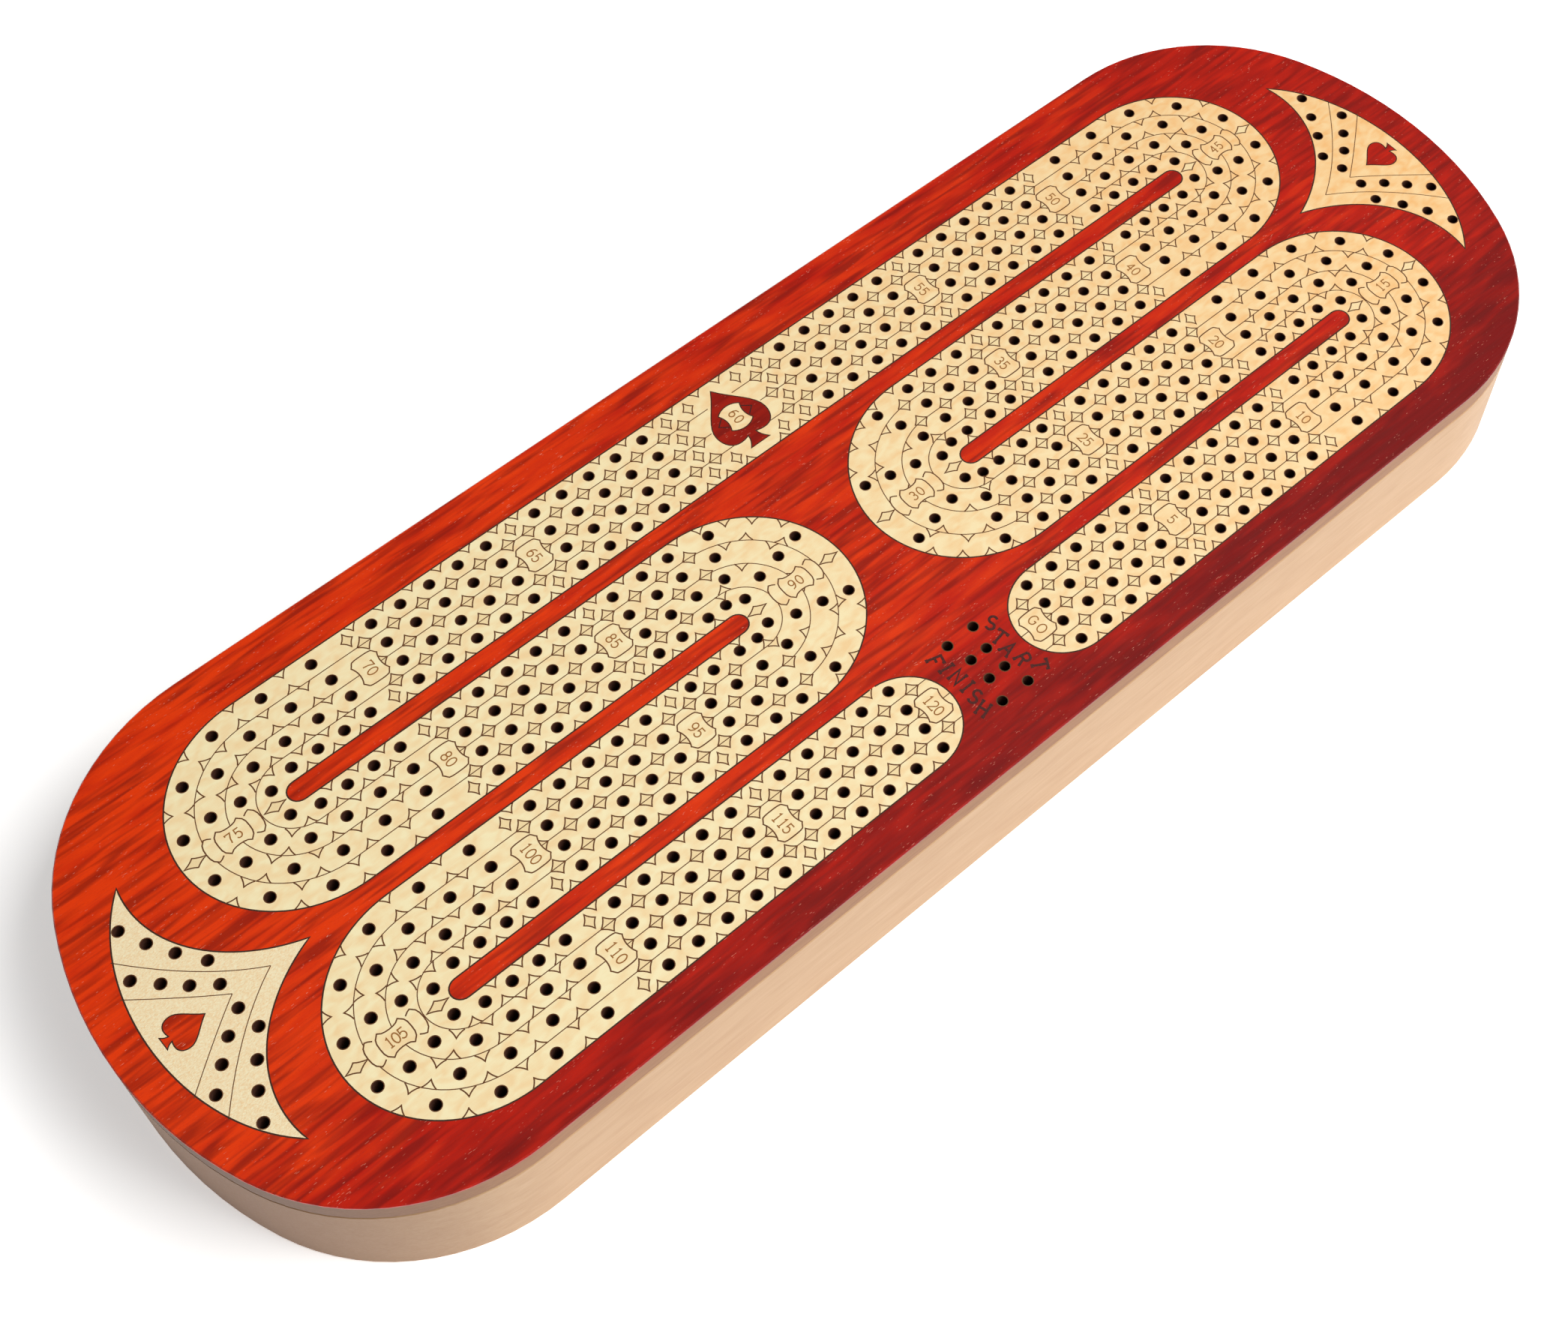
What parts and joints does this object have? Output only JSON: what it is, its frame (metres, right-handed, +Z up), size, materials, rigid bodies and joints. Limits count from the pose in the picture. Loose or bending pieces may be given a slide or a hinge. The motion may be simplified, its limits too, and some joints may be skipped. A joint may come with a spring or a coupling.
{
  "type": "cribbage board",
  "caption": "Cribbage board and box: a slim round-ended lid with an inlaid winding four-track peg course swivels to uncover wells for cards and pegs.",
  "frame": {"origin": "middle of the box's underside", "axes": "+X along the board towards the end with numbers 15 and 45, where the pivot is; +Y across the board towards the long lane of 50 to 70; +Z up"},
  "size_m": [0.381, 0.1334, 0.037],
  "materials": {
    "maple_box": "satin lacquer",
    "maple_lid": "satin lacquer",
    "bloodwood": "semi-gloss lacquer",
    "maple_inlay": "semi-gloss lacquer with laser-burned lines",
    "maple_figured": "semi-gloss lacquer",
    "nickel": "nickel plated",
    "nylon": "natural nylon",
    "steel": "turned",
    "brass": "turned",
    "copper": "copper plated, turned",
    "black_oxide": "black oxide, satin"
  },
  "bodies": {
    "box": {"box_body": "maple_box", "box_magnets": "nickel", "pivot_washer": "nylon", "tension_washer": "steel", "pegs_brass": "brass", "pegs_steel": "steel", "pegs_copper": "copper", "pegs_black": "black_oxide"},
    "lid": {"lid_board": "maple_lid", "bloodwood_face": "bloodwood", "track_inlay": "maple_inlay", "right_crescent": "maple_figured", "left_crescent": "maple_figured", "right_spade": "bloodwood", "left_spade": "bloodwood", "sixty_spade": "bloodwood", "sixty_plate": "maple_inlay", "lid_magnets": "nickel", "pivot_screw": "steel", "pivot_insert": "brass"}
  },
  "joints": [
    {"name": "lid_swivel", "type": "hinge", "parent": "box", "child": "lid", "pos_m": [0.1515, 0, 0.0303], "axis": [0, 0, 1], "continuous": true}
  ]
}
